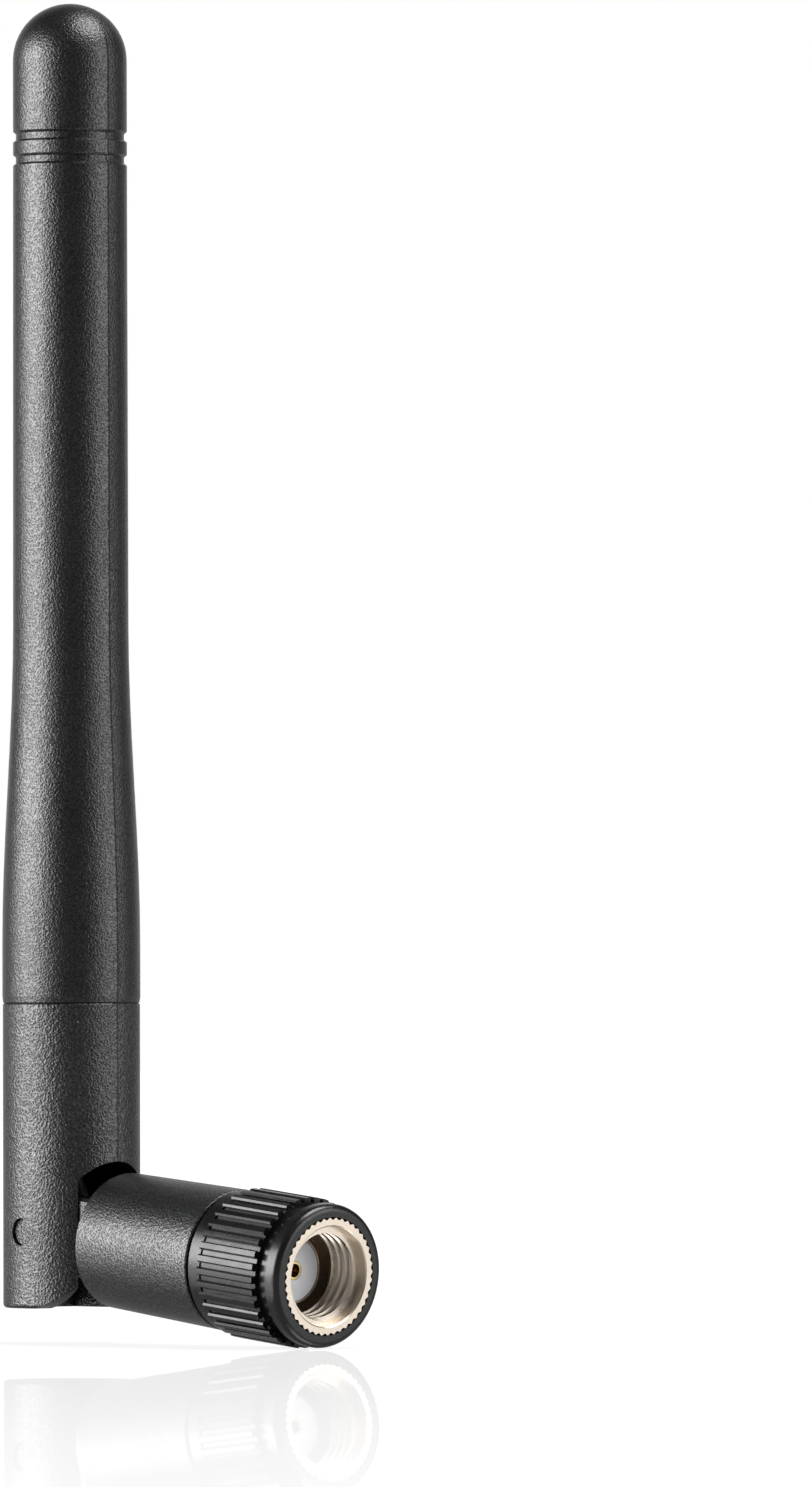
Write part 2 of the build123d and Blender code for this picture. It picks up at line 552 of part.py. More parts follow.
# ================================================================ coupling nut and grip
# Coupling nut: brass, knurled outside, with the thread, a relief for the mating part's end, and
# a rear flange that runs on the connector body.
with BuildPart() as coupling_nut:
    with BuildSketch(station(NUT_BACK)):
        Circle(NUT_RADIUS)
        Circle(THREAD_MINOR_RADIUS, mode=Mode.SUBTRACT)
    extrude(amount=NUT_LENGTH)
    # thread groove: a trapezoid swept along a helix that runs on past both ends of the thread
    helix_start = THREAD_END - THREAD_RUN_OUT
    helix_length = THREAD_LENGTH + 2 * THREAD_RUN_OUT
    with BuildLine(station(helix_start)) as helix:
        Helix(THREAD_PITCH, helix_length, THREAD_MINOR_RADIUS, direction=AXIS)
    groove_start = helix.line @ 0
    outward = groove_start - (PIN_POINT + AXIS * helix_start)
    with BuildSketch(Plane(origin=groove_start, x_dir=outward, z_dir=helix.line % 0)):
        flank_run = tan(radians(THREAD_FLANK_ANGLE))
        overshoot = 0.25 * THREAD_DEPTH
        inner_half = THREAD_ROOT_FLAT / 2 + (THREAD_DEPTH + overshoot) * flank_run
        Polygon(
            (-overshoot, -inner_half),
            (-overshoot, inner_half),
            (THREAD_DEPTH, THREAD_ROOT_FLAT / 2),
            (THREAD_DEPTH, -THREAD_ROOT_FLAT / 2),
            align=None,
        )
    thread_axis = Edge.make_line(PIN_POINT, PIN_POINT + AXIS)
    sweep(path=helix.line, binormal=thread_axis, mode=Mode.SUBTRACT)
    # bore, ring groove, relief and mouth
    with BuildSketch(BARREL_SECTION):
        groove_half = RING_THICKNESS / 2 + 2 * RING_SIDE_GAP
        Polygon(
            (NUT_BACK - CUT_MARGIN, 0),
            (NUT_BACK - CUT_MARGIN, NUT_BORE_RADIUS),
            (RING_STATION - groove_half, NUT_BORE_RADIUS),
            (RING_STATION - groove_half, RING_RADIUS + 2 * RING_SIDE_GAP),
            (RING_STATION + groove_half, RING_RADIUS + 2 * RING_SIDE_GAP),
            (RING_STATION + groove_half, NUT_BORE_RADIUS),
            (NUT_FLANGE_FRONT, NUT_BORE_RADIUS),
            (NUT_FLANGE_FRONT, RELIEF_RADIUS),
            (THREAD_END, RELIEF_RADIUS),
            (THREAD_END, 0),
            align=None,
        )
        Polygon(
            (MOUTH_STATION, 0),
            (MOUTH_STATION, MOUTH_RADIUS),
            (FACE_STATION - MOUTH_BEVEL, MOUTH_RADIUS),
            (FACE_STATION + MOUTH_BEVEL, MOUTH_RADIUS + 2 * MOUTH_BEVEL),
            (FACE_STATION + MOUTH_BEVEL, 0),
            align=None,
        )
    revolve(axis=CONNECTOR_AXIS, mode=Mode.SUBTRACT)
    # knurl
    with BuildSketch(station(NUT_BACK)):
        tooth_pitch = 2 * pi * NUT_RADIUS / KNURL_TEETH
        with PolarLocations(NUT_RADIUS, KNURL_TEETH):
            Polygon((0, -tooth_pitch / 2), (0, tooth_pitch / 2), (-KNURL_DEPTH, 0), align=None)
    extrude(amount=NUT_LENGTH, mode=Mode.SUBTRACT)
finish_part(coupling_nut, "coupling_nut")

# Grip sleeve: ribbed plastic over the nut, turned by hand.
with BuildPart() as grip_sleeve:
    ring_back = FACE_STATION - GRIP_RING_LENGTH
    rib_front = ring_back - GRIP_GROOVE_LENGTH
    rib_back = SLEEVE_BACK + GRIP_COLLAR_LENGTH
    sleeve_bore = BODY_RADIUS + SLEEVE_BORE_GAP
    with BuildSketch(BARREL_SECTION):
        with BuildLine():
            rounding_start = (FACE_STATION - GRIP_FRONT_ROUNDING, GRIP_RADIUS)
            rounding_end = (FACE_STATION, GRIP_RADIUS - GRIP_FRONT_ROUNDING)
            Polyline(
                (SLEEVE_BACK, sleeve_bore),
                (SLEEVE_BACK, GRIP_COLLAR_RADIUS - SLEEVE_EDGE),
                (SLEEVE_BACK + SLEEVE_EDGE, GRIP_COLLAR_RADIUS),
                (rib_back, GRIP_COLLAR_RADIUS),
                (rib_back, RIB_RADIUS),
                (rib_front, RIB_RADIUS),
                (rib_front, GRIP_GROOVE_RADIUS),
                (ring_back, GRIP_GROOVE_RADIUS),
                (ring_back, GRIP_RADIUS - GRIP_BACK_ROUNDING),
                (ring_back + GRIP_BACK_ROUNDING, GRIP_RADIUS),
                rounding_start,
            )
            RadiusArc(rounding_start, rounding_end, GRIP_FRONT_ROUNDING)
            Polyline(
                rounding_end,
                (FACE_STATION, NUT_RADIUS + FIT_GAP),
                (NUT_BACK, NUT_RADIUS + FIT_GAP),
                (NUT_BACK, sleeve_bore),
                (SLEEVE_BACK, sleeve_bore),
            )
        make_face()
    revolve(axis=CONNECTOR_AXIS)
    with BuildSketch(station(rib_back)):
        valley_width = 2 * pi * RIB_ROOT_RADIUS / RIB_COUNT * (1 - RIB_SHARE)
        with PolarLocations(RIB_ROOT_RADIUS, RIB_COUNT):
            Polygon(
                (0, -valley_width / 2),
                (RIB_DEPTH - RIB_BEVEL, -valley_width / 2),
                (RIB_DEPTH + RIB_BEVEL, -valley_width / 2 - 2 * RIB_BEVEL),
                (RIB_DEPTH + RIB_BEVEL, valley_width / 2 + 2 * RIB_BEVEL),
                (RIB_DEPTH - RIB_BEVEL, valley_width / 2),
                (0, valley_width / 2),
                align=None,
            )
    extrude(amount=rib_front - rib_back, mode=Mode.SUBTRACT)
finish_part(grip_sleeve, "grip_sleeve")
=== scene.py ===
"""A folding omnidirectional whip antenna on a screw-on connector, finished and lit for a still picture."""

import json
import math

import bmesh
import bpy
from bpy.props import FloatProperty, FloatVectorProperty, IntProperty, PointerProperty
from bpy.types import Operator, Panel, PropertyGroup
from mathutils import Matrix, Vector


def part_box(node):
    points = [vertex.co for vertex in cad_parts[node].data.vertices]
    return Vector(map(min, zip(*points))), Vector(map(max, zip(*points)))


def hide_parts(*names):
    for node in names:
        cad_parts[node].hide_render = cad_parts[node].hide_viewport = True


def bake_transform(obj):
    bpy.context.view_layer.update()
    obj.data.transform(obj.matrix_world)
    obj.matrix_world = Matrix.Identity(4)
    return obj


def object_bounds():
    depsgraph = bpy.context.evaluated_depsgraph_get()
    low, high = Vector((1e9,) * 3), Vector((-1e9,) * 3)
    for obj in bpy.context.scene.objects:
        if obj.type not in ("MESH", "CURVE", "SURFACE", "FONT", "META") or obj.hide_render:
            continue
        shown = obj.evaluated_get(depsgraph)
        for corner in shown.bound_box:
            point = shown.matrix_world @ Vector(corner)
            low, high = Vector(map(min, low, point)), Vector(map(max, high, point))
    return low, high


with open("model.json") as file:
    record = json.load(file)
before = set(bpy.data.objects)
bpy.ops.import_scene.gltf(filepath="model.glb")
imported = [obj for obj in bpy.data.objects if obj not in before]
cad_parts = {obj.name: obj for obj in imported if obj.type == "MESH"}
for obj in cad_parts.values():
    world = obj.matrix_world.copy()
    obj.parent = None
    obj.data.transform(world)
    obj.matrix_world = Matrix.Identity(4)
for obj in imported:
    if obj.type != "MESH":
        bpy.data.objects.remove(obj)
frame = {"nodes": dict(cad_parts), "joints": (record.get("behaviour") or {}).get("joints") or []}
CAD_BOX = [list(corner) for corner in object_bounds()]

bl_info = {
    "name": "Folding whip antenna",
    "version": (1, 0, 0),
    "blender": (4, 5, 0),
    "location": "View3D > Sidebar > Antenna",
    "description": "Finishes the pieces of a folding whip antenna and sets up its studio",
    "category": "Object",
}

MM = 0.001


# ------------------------------------------------------------------ places taken from the frame
def joint_named(name):
    """The record's joint of that name."""
    return next(joint for joint in frame["joints"] if joint["name"] == name)


PIN = Vector(joint_named("tilt")["pos_m"])
CONNECTOR_AXIS = Vector(joint_named("swivel")["axis"]).normalized()
UP = Vector((0, 0, 1))
LOWEST = CAD_BOX[0][2]


# ------------------------------------------------------------------ small helpers
def linear(hex_colour):
    """Scene-linear RGBA from an sRGB hex colour."""
    digits = hex_colour.lstrip("#")
    channels = [int(digits[at:at + 2], 16) / 255 for at in (0, 2, 4)]
    return tuple(c / 12.92 if c <= 0.04045 else ((c + 0.055) / 1.055) ** 2.4 for c in channels) + (1.0,)


def colour_property(name, description, hex_colour):
    """A colour that a user may change, with its default as an sRGB hex value."""
    return FloatVectorProperty(
        name=name, description=description, subtype="COLOR", size=4, min=0, max=1, default=linear(hex_colour),
    )


def size_property(name, description, millimetres):
    """A length that a user may change, with its default in millimetres."""
    return FloatProperty(
        name=name, description=description, subtype="DISTANCE", unit="LENGTH", precision=5,
        default=millimetres * MM,
    )


def add_node(tree, kind, inputs=None, **settings):
    """Adds a node with its settings. An input that is given a socket is linked to it."""
    node = tree.nodes.new(kind)
    for name, value in settings.items():
        setattr(node, name, value)
    for name, value in (inputs or {}).items():
        if isinstance(value, bpy.types.NodeSocket):
            tree.links.new(value, node.inputs[name])
        else:
            node.inputs[name].default_value = value
    return node


def new_material(name):
    """An empty node material and its tree."""
    material = bpy.data.materials.new(name)
    material.use_nodes = True
    material.node_tree.nodes.clear()
    return material, material.node_tree


def finish_node(name, material):
    """Gives a frame node its material in the slot that it already has."""
    frame["nodes"][name].material_slots[0].material = material


def object_point(tree):
    """The place on the piece, in metres, in the frame shared by every piece."""
    return add_node(tree, "ShaderNodeTexCoord").outputs["Object"]


def per_metre(millimetres):
    """The scale of a pattern that repeats at that many millimetres."""
    return 1 / (millimetres * MM)


def add_piece(name, shape, material):
    """Turns a finished bmesh into a piece at the origin, in a material slot of its own."""
    mesh = bpy.data.meshes.new(name)
    shape.to_mesh(mesh)
    shape.free()
    mesh.shade_smooth()
    mesh.materials.append(material)
    piece = bpy.data.objects.new(name, mesh)
    bpy.context.scene.collection.objects.link(piece)
    return piece


# ------------------------------------------------------------------ settings
class AntennaColours(PropertyGroup):
    """Colours of the finishes."""

    shell: colour_property("Shell plastic", "Black ABS of the radome and the hinge", "#0C0D0E")
    grip: colour_property("Grip plastic", "Black nylon of the grip sleeve", "#0E0E0F")
    nickel: colour_property("Nickel", "Plating of the coupling nut and the connector body", "#DACEBF")
    gold: colour_property("Gold", "Plating of the centre contact", "#E3CB98")
    insulator: colour_property("Insulator", "PTFE round the contact and in the cable", "#F0F4FA")
    steel: colour_property("Spring steel", "Retaining ring", "#8E9094")
    brass: colour_property("Brass", "Choke sleeve", "#C9A25B")
    solder: colour_property("Solder", "Solder at the feed point", "#B9BCC2")
    jacket: colour_property("Cable jacket", "Jacket of the thin coaxial cable", "#1B1B1D")
    braid: colour_property("Braid", "Tinned copper braid", "#B4B3B0")
    wire: colour_property("Wire", "Silver-plated wire", "#D6D4CF")
    shrink: colour_property("Shrink tube", "Black polyolefin shrink tube", "#202022")
    foam: colour_property("Foam", "Polyethylene foam bushes", "#D8D7D2")
    studio: colour_property("Studio", "Floor and background", "#FFFFFF")


class AntennaSizes(PropertyGroup):
    """Sizes of textures and of the pieces made here."""

    whip_grain: size_property("Whip grain", "Spacing of the spark-eroded grain on the radome", 0.15)
    whip_grain_height: size_property("Whip grain height", "Height of the grain on the radome", 0.024)
    hinge_grain: size_property("Hinge grain", "Spacing of the coarser grain on the hinge", 0.17)
    hinge_grain_height: size_property("Hinge grain height", "Height of the grain on the hinge", 0.036)
    barrel_grain_height: size_property("Barrel grain height", "Height of the worn grain on the barrel", 0.022)
    parting_width: size_property("Parting line width", "Width of the mould's parting line", 0.16)
    parting_height: size_property("Parting line height", "How far the parting line stands out", 0.03)
    cable_segments: IntProperty(
        name="Cable segments", description="Sides of the cable in the hinge", min=8, max=64, default=28,
    )
    cable_steps: IntProperty(
        name="Cable steps", description="Rings along the cable's bend", min=8, max=96, default=36,
    )


class StudioSettings(PropertyGroup):
    """Where the camera and the lamps stand."""

    azimuth: FloatProperty(
        name="Azimuth", description="Direction the camera stands in, turned from the front",
        subtype="ANGLE", default=math.radians(48),
    )
    distance: size_property("Camera distance", "From the whip to the camera", 1000)
    eye_height: size_property("Eye height", "Camera's height above the hinge pin", 15.8)
    frame_height: size_property("Frame height", "Height of the picture at the whip", 103.26)
    aim_height: size_property("Aim height", "Picture's centre above the hinge pin", 33.8)
    aim_right: size_property("Aim right", "Picture's centre to the right of the whip", 23.2)
    roll: FloatProperty(
        name="Roll", description="Lean of the camera", subtype="ANGLE", default=math.radians(0.12),
    )
    lamp_distance: size_property("Lamp distance", "From the antenna to each soft box", 900)
    key_power: FloatProperty(
        name="Key power", description="Power of the left soft box", unit="POWER", default=29.0,
    )
    fill_power: FloatProperty(
        name="Fill power", description="Power of the right soft box", unit="POWER", default=6.4,
    )
    top_power: FloatProperty(
        name="Top power", description="Power of the overhead soft box", unit="POWER", default=8.5,
    )
    ambient: FloatProperty(
        name="Ambient", description="Light from all round", min=0, default=0.2,
    )


# ------------------------------------------------------------------ finishes
DUST_GREY = linear("#6A6866")
SHEET_GREY = linear("#777777")


def grain_height(tree, point, spacing_mm):
    """Grain of a spark-eroded mould, as a height: small pits with a finer unevenness on them."""
    craters = add_node(
        tree, "ShaderNodeTexVoronoi",
        {"Vector": point, "Scale": per_metre(spacing_mm), "Smoothness": 0.35, "Randomness": 1.0},
        feature="SMOOTH_F1",
    )
    swell = add_node(
        tree, "ShaderNodeTexNoise",
        {"Vector": point, "Scale": per_metre(spacing_mm * 0.7), "Detail": 2.0, "Roughness": 0.6},
    )
    return add_node(
        tree, "ShaderNodeMath", {0: swell.outputs["Fac"], 1: craters.outputs["Distance"]}, operation="ADD",
    ).outputs["Value"]


def parting_normal(tree, across, width_mm, height_mm):
    """The fine raised line where the two halves of the mould met, in the hinge's middle plane."""
    distance = add_node(tree, "ShaderNodeMath", {0: across}, operation="ABSOLUTE")
    ridge = add_node(
        tree, "ShaderNodeMapRange",
        {"Value": distance.outputs["Value"], "From Min": 0.0, "From Max": width_mm * MM / 2,
         "To Min": 1.0, "To Max": 0.0},
        interpolation_type="SMOOTHSTEP",
    )
    return add_node(
        tree, "ShaderNodeBump",
        {"Height": ridge.outputs["Result"], "Distance": height_mm * MM, "Strength": 1.0},
    ).outputs["Normal"]


def spark_eroded_abs(name, colour, grain_mm, grain_height_mm, sizes, roughness, specular):
    """Injection-moulded ABS from a spark-eroded mould: a fine rounded grain breaks each highlight into
    sparkles, the skin's gloss drifts a little over the moulding and is duller on one half of the mould,
    and a fine line runs where the halves met."""
    material, tree = new_material(name)
    point = object_point(tree)
    across = add_node(tree, "ShaderNodeSeparateXYZ", {"Vector": point}).outputs["Y"]
    line = parting_normal(tree, across, sizes.parting_width / MM, sizes.parting_height / MM)
    grain = grain_height(tree, point, grain_mm)
    bump = add_node(
        tree, "ShaderNodeBump",
        {"Height": grain, "Distance": grain_height_mm * MM, "Strength": 1.0, "Normal": line},
    )
    # the pits between the grain's tops swallow part of the reflection
    open_share = add_node(
        tree, "ShaderNodeMapRange",
        {"Value": grain, "From Min": 0.65, "From Max": 1.25, "To Min": 0.5, "To Max": 1.5},
    )
    drift = add_node(
        tree, "ShaderNodeTexNoise", {"Vector": point, "Scale": per_metre(6.0), "Detail": 2.0},
    )
    gloss = add_node(
        tree, "ShaderNodeMapRange",
        {"Value": drift.outputs["Fac"], "From Min": 0.3, "From Max": 0.7,
         "To Min": roughness - 0.03, "To Max": roughness + 0.03},
    )
    half = add_node(
        tree, "ShaderNodeMapRange",
        {"Value": across, "From Min": -0.05 * MM, "From Max": 0.05 * MM,
         "To Min": specular, "To Max": 0.84 * specular},
    )
    reflection = add_node(
        tree, "ShaderNodeMath", {0: half.outputs["Result"], 1: open_share.outputs["Result"]},
        operation="MULTIPLY",
    )
    # dust: a speck in about one of forty cells of a 0.9 mm lattice, each at most 0.16 mm across
    lattice = add_node(tree, "ShaderNodeTexVoronoi", {"Vector": point, "Scale": per_metre(0.9)})
    near = add_node(
        tree, "ShaderNodeMapRange",
        {"Value": lattice.outputs["Distance"], "From Min": 0.05, "From Max": 0.09,
         "To Min": 1.0, "To Max": 0.0},
    )
    chosen = add_node(tree, "ShaderNodeSeparateColor", {"Color": lattice.outputs["Color"]})
    rare = add_node(
        tree, "ShaderNodeMath", {0: chosen.outputs["Red"], 1: 0.975}, operation="GREATER_THAN",
    )
    speck = add_node(
        tree, "ShaderNodeMath", {0: near.outputs["Result"], 1: rare.outputs["Value"]}, operation="MULTIPLY",
    )
    dusty = add_node(
        tree, "ShaderNodeMix", {0: speck.outputs["Value"], 6: colour, 7: DUST_GREY}, data_type="RGBA",
    )
    shader = add_node(
        tree, "ShaderNodeBsdfPrincipled",
        {"Base Color": dusty.outputs[2], "Roughness": gloss.outputs["Result"],
         "Normal": bump.outputs["Normal"], "IOR": 1.5, "Specular IOR Level": reflection.outputs["Value"]},
    )
    add_node(tree, "ShaderNodeOutputMaterial", {"Surface": shader.outputs["BSDF"]})
    return material


def moulded_nylon(name, colour):
    """Injection-moulded nylon from a polished mould: smooth, with a faint flow unevenness in its gloss."""
    material, tree = new_material(name)
    point = object_point(tree)
    flow = add_node(
        tree, "ShaderNodeTexNoise", {"Vector": point, "Scale": per_metre(1.2), "Detail": 4.0},
    )
    gloss = add_node(
        tree, "ShaderNodeMapRange",
        {"Value": flow.outputs["Fac"], "From Min": 0.3, "From Max": 0.7, "To Min": 0.24, "To Max": 0.32},
    )
    fine = add_node(
        tree, "ShaderNodeTexNoise", {"Vector": point, "Scale": per_metre(0.22), "Detail": 2.0},
    )
    bump = add_node(
        tree, "ShaderNodeBump", {"Height": fine.outputs["Fac"], "Distance": 0.003 * MM, "Strength": 1.0},
    )
    shader = add_node(
        tree, "ShaderNodeBsdfPrincipled",
        {"Base Color": colour, "Roughness": gloss.outputs["Result"], "Normal": bump.outputs["Normal"],
         "IOR": 1.52, "Specular IOR Level": 0.42},
    )
    add_node(tree, "ShaderNodeOutputMaterial", {"Surface": shader.outputs["BSDF"]})
    return material


def turned_metal(name, colour, roughness_low, roughness_high, turning_mm, turning_height_mm):
    """Plated metal over a turned surface: tool marks run round the connector's axis and spread the
    highlight across them, and the plating's gloss is slightly cloudy. The drawn, woven and soldered pieces
    inside take the same marks at a spacing of their own."""
    material, tree = new_material(name)
    point = object_point(tree)
    radial = add_node(
        tree, "ShaderNodeVectorMath", {0: point, 1: CONNECTOR_AXIS}, operation="CROSS_PRODUCT",
    )
    radius = add_node(
        tree, "ShaderNodeVectorMath", {0: radial.outputs["Vector"]}, operation="LENGTH",
    )
    along = add_node(
        tree, "ShaderNodeVectorMath", {0: point, 1: CONNECTOR_AXIS}, operation="DOT_PRODUCT",
    )
    across = add_node(
        tree, "ShaderNodeMath", {0: radius.outputs["Value"], 1: along.outputs["Value"]}, operation="ADD",
    )
    marks = add_node(
        tree, "ShaderNodeTexNoise",
        {"W": across.outputs["Value"], "Scale": per_metre(turning_mm), "Detail": 2.0},
        noise_dimensions="1D",
    )
    bump = add_node(
        tree, "ShaderNodeBump",
        {"Height": marks.outputs["Fac"], "Distance": turning_height_mm * MM, "Strength": 1.0},
    )
    cloud = add_node(
        tree, "ShaderNodeTexNoise", {"Vector": point, "Scale": per_metre(0.8), "Detail": 3.0},
    )
    gloss = add_node(
        tree, "ShaderNodeMapRange",
        {"Value": cloud.outputs["Fac"], "From Min": 0.3, "From Max": 0.7,
         "To Min": roughness_low, "To Max": roughness_high},
    )
    shader = add_node(
        tree, "ShaderNodeBsdfPrincipled",
        {"Base Color": colour, "Metallic": 1.0, "Roughness": gloss.outputs["Result"],
         "Normal": bump.outputs["Normal"]},
    )
    add_node(tree, "ShaderNodeOutputMaterial", {"Surface": shader.outputs["BSDF"]})
    return material


def plain_polymer(name, colour, roughness, pattern_mm, height_mm):
    """Extruded or turned polymer: a faint drawn unevenness in its surface."""
    material, tree = new_material(name)
    point = object_point(tree)
    fine = add_node(
        tree, "ShaderNodeTexNoise", {"Vector": point, "Scale": per_metre(pattern_mm), "Detail": 3.0},
    )
    bump = add_node(
        tree, "ShaderNodeBump", {"Height": fine.outputs["Fac"], "Distance": height_mm * MM, "Strength": 1.0},
    )
    gloss = add_node(
        tree, "ShaderNodeMapRange",
        {"Value": fine.outputs["Fac"], "From Min": 0.3, "From Max": 0.7,
         "To Min": roughness - 0.05, "To Max": roughness + 0.05},
    )
    shader = add_node(
        tree, "ShaderNodeBsdfPrincipled",
        {"Base Color": colour, "Roughness": gloss.outputs["Result"], "Normal": bump.outputs["Normal"]},
    )
    add_node(tree, "ShaderNodeOutputMaterial", {"Surface": shader.outputs["BSDF"]})
    return material


# ------------------------------------------------------------------ pieces made here
def bent_cable(sizes):
    """The cable's bend in the hinge: a circle spun about the bend's centre, with both ends closed. Gives the
    bmesh and the distance from the hinge pin to each end."""
    jacket_low, jacket_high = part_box("coax_jacket")
    radius = (jacket_high.y - jacket_low.y) / 2
    reach = jacket_low.z - PIN.z
    turn = (-UP).angle(CONNECTOR_AXIS)
    bend_radius = reach / math.tan(turn / 2)
    shape = bmesh.new()
    ring = bmesh.ops.create_circle(shape, segments=sizes.cable_segments, radius=radius)
    bmesh.ops.translate(shape, verts=ring["verts"], vec=PIN + UP * reach)
    bmesh.ops.spin(
        shape, geom=shape.verts[:] + shape.edges[:], cent=PIN + Vector((bend_radius, 0, reach)),
        axis=Vector((0, -1, 0)), dvec=Vector((0, 0, 0)), angle=turn, steps=sizes.cable_steps, use_merge=False,
    )
    bmesh.ops.remove_doubles(shape, verts=shape.verts, dist=1e-7)
    bmesh.ops.holes_fill(shape, edges=[edge for edge in shape.edges if edge.is_boundary])
    bmesh.ops.recalc_face_normals(shape, faces=shape.faces)
    return shape, reach


class ANTENNA_OT_shells(Operator):
    """Finish the radome, the hinge housing, the barrel and the hinge pins"""

    bl_idname = "antenna.shells"
    bl_label = "Shells"

    def execute(self, context):
        colours = context.scene.antenna_colours
        sizes = context.scene.antenna_sizes
        whip = spark_eroded_abs(
            "spark_eroded_abs_whip", colours.shell, sizes.whip_grain / MM, sizes.whip_grain_height / MM,
            sizes, roughness=0.34, specular=0.66,
        )
        hinge = spark_eroded_abs(
            "spark_eroded_abs_hinge", colours.shell, sizes.hinge_grain / MM, sizes.hinge_grain_height / MM,
            sizes, roughness=0.37, specular=0.74,
        )
        barrel = spark_eroded_abs(
            "spark_eroded_abs_barrel", colours.shell, sizes.hinge_grain / MM, sizes.barrel_grain_height / MM,
            sizes, roughness=0.38, specular=0.74,
        )
        finish_node("radome", whip)
        finish_node("barrel", barrel)
        for name in ("hinge_housing", "pivot_pin_left", "pivot_pin_right"):
            finish_node(name, hinge)
        return {"FINISHED"}


class ANTENNA_OT_grip(Operator):
    """Finish the ribbed grip sleeve"""

    bl_idname = "antenna.grip"
    bl_label = "Grip sleeve"

    def execute(self, context):
        finish_node("grip_sleeve", moulded_nylon("moulded_nylon", context.scene.antenna_colours.grip))
        return {"FINISHED"}


class ANTENNA_OT_connector(Operator):
    """Finish the coupling nut, connector body, contact, insulator and crimp"""

    bl_idname = "antenna.connector"
    bl_label = "Connector"

    def execute(self, context):
        colours = context.scene.antenna_colours
        nickel = turned_metal(
            "nickel_plated_brass", colours.nickel, roughness_low=0.26, roughness_high=0.36,
            turning_mm=0.09, turning_height_mm=0.0012,
        )
        for name in ("coupling_nut", "connector_body", "crimp_sleeve"):
            finish_node(name, nickel)
        gold = turned_metal(
            "gold_plated_brass", colours.gold, roughness_low=0.2, roughness_high=0.3,
            turning_mm=0.06, turning_height_mm=0.001,
        )
        finish_node("center_contact", gold)
        steel = turned_metal(
            "spring_steel", colours.steel, roughness_low=0.3, roughness_high=0.42,
            turning_mm=0.1, turning_height_mm=0.001,
        )
        finish_node("retaining_ring", steel)
        insulator = plain_polymer(
            "turned_ptfe", colours.insulator, roughness=0.42, pattern_mm=0.25, height_mm=0.003,
        )
        finish_node("contact_insulator", insulator)
        shrink = plain_polymer(
            "shrunk_polyolefin", colours.shrink, roughness=0.5, pattern_mm=0.5, height_mm=0.01,
        )
        finish_node("crimp_shrink", shrink)
        return {"FINISHED"}


class ANTENNA_OT_cable(Operator):
    """Finish the cable's jacket and make the cable's bend in the hinge, turned through the angle between the
    whip and the connector
    """

    bl_idname = "antenna.cable"
    bl_label = "Cable"

    def execute(self, context):
        colours = context.scene.antenna_colours
        jacket = plain_polymer(
            "extruded_cable_jacket", colours.jacket, roughness=0.38, pattern_mm=0.4, height_mm=0.004,
        )
        for name in ("coax_jacket", "lower_coax_jacket", "coax_bend"):
            finish_node(name, jacket)
        shape, reach = bent_cable(context.scene.antenna_sizes)
        bend = add_piece("flexible_cable_bend", shape, jacket)
        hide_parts("coax_bend")
        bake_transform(bend)
        return {"FINISHED"}


class ANTENNA_OT_radiator(Operator):
    """Finish the radiating parts and the cable's layers inside the whip"""

    bl_idname = "antenna.radiator"
    bl_label = "Radiator"

    def execute(self, context):
        colours = context.scene.antenna_colours
        brass = turned_metal(
            "drawn_brass", colours.brass, roughness_low=0.22, roughness_high=0.34,
            turning_mm=0.3, turning_height_mm=0.002,
        )
        finish_node("choke_sleeve", brass)
        solder = turned_metal(
            "tin_solder", colours.solder, roughness_low=0.25, roughness_high=0.4,
            turning_mm=0.4, turning_height_mm=0.004,
        )
        finish_node("solder_fillet", solder)
        braid = turned_metal(
            "tinned_copper_braid", colours.braid, roughness_low=0.3, roughness_high=0.45,
            turning_mm=0.16, turning_height_mm=0.01,
        )
        finish_node("coax_braid", braid)
        wire = turned_metal(
            "silver_plated_wire", colours.wire, roughness_low=0.2, roughness_high=0.3,
            turning_mm=0.2, turning_height_mm=0.001,
        )
        for name in ("radiator_wire", "lower_conductor"):
            finish_node(name, wire)
        ptfe = plain_polymer(
            "extruded_ptfe", colours.insulator, roughness=0.4, pattern_mm=0.3, height_mm=0.002,
        )
        for name in ("coax_dielectric", "lower_coax_dielectric"):
            finish_node(name, ptfe)
        shrink = plain_polymer(
            "shrunk_polyolefin_tube", colours.shrink, roughness=0.5, pattern_mm=0.5, height_mm=0.01,
        )
        finish_node("radiator_shrink", shrink)
        foam = plain_polymer(
            "polyethylene_foam", colours.foam, roughness=0.8, pattern_mm=0.35, height_mm=0.05,
        )
        for name in ("lower_bush", "upper_bush"):
            finish_node(name, foam)
        return {"FINISHED"}


FLOOR_HALF_WIDTH = 3.0          # metres, as are the soft boxes' widths and heights
FLOOR_GAP = 0.05 * MM           # under the antenna's lowest point
MIRROR_SHARE = 0.25             # of the floor's surface that acts as a mirror
KEY_ANGLE = math.radians(77)    # to the left of the camera
KEY_SIZE = (0.85, 0.95)
FILL_ANGLE = math.radians(72)   # to the right of the camera
FILL_SIZE = (0.6, 0.95)
TOP_SIZE = (0.5, 0.5)
SENSOR_WIDTH = 36               # the camera's, in millimetres


def studio_directions(settings):
    """Unit vectors from the antenna to the camera and to the picture's right, both level."""
    toward = Vector((math.sin(settings.azimuth), -math.cos(settings.azimuth), 0))
    right = UP.cross(toward)
    return toward, right


